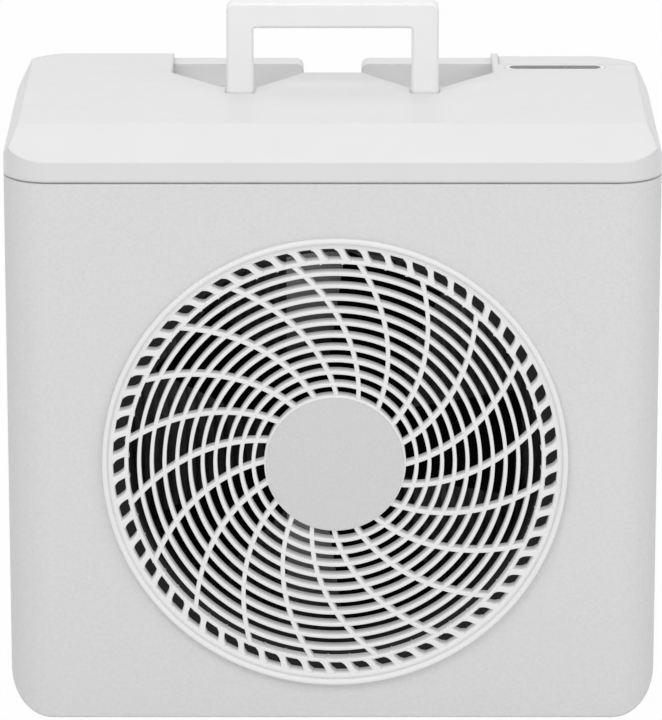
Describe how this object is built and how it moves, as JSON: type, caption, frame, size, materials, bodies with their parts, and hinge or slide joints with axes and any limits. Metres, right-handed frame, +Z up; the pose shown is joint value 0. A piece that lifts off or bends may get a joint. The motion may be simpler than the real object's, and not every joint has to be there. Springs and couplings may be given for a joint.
{
  "type": "box fan",
  "caption": "Compact white box fan unit with a round spiral-rib grille, bevelled top cover, folding carry handle and top display.",
  "frame": {"origin": "bottom centre of the whole object, on the surface it stands on", "axes": "+Z up, +Y from the grille towards the back, +X to the right seen from the front"},
  "size_m": [0.367, 0.246, 0.3937],
  "materials": {
    "panel_white": "fine powder-coat texture, matt",
    "cover_white": "smooth satin moulded plastic",
    "grille_white": "satin moulded plastic",
    "hub_grey": "fine spark-eroded texture",
    "handle_white": "smooth satin moulded plastic",
    "display_black": "dark glossy lens",
    "board_green": "lacquered circuit board",
    "fan_black": "matt dark plastic",
    "shroud_grey": "matt grey plastic",
    "motor_steel": "dark painted steel",
    "steel": "plain zinc-plated steel",
    "galvanised": "galvanised sheet",
    "fin_aluminium": "thin plain fins",
    "copper": "drawn copper",
    "rubber": "black rubber",
    "compressor_black": "black enamel",
    "pipe_plastic": "dark grey moulded plastic"
  },
  "bodies": {
    "cabinet": {"front_panel": "panel_white", "front_grille": "grille_white", "grille_hub_cap": "hub_grey", "casing_wrap": "panel_white", "rear_panel": "panel_white", "rear_grille": "grille_white", "rear_screws": "steel", "base_pan": "galvanised", "feet": "rubber", "top_cover": "cover_white", "handle_pins": "steel", "display_bezel": "handle_white", "display_lens": "display_black", "display_board": "board_green", "control_insert": "cover_white", "fan_shroud": "shroud_grey", "shroud_screws": "steel", "motor_stator": "steel", "front_bearing": "steel", "rear_bearing": "steel", "motor_housing": "motor_steel", "motor_end_cap": "motor_steel", "motor_bracket": "galvanised", "motor_screws": "steel", "coil_fins": "fin_aluminium", "coil_end_plates": "galvanised", "coil_tubes": "copper", "compressor": "compressor_black", "compressor_base": "compressor_black", "compressor_grommets": "rubber", "discharge_pipe": "copper", "suction_pipe": "copper", "heat_exchanger": "pipe_plastic", "water_inlet": "pipe_plastic", "water_outlet": "pipe_plastic", "union_nuts": "pipe_plastic", "control_box": "motor_steel", "control_board": "board_green", "run_capacitor": "pipe_plastic", "cable_gland": "pipe_plastic"},
    "handle": {"handle": "handle_white"},
    "fan": {"impeller": "fan_black", "impeller_nut": "steel", "motor_shaft": "steel", "motor_rotor": "steel"}
  },
  "joints": [
    {"name": "handle_fold", "type": "hinge", "parent": "cabinet", "child": "handle", "pos_m": [0, -0.003, 0.3335], "axis": [-1, 0, 0], "range_deg": [0, 90]},
    {"name": "fan_spin", "type": "hinge", "parent": "cabinet", "child": "fan", "pos_m": [0.0014, 0, 0.1543], "axis": [0, 1, 0], "continuous": true}
  ]
}
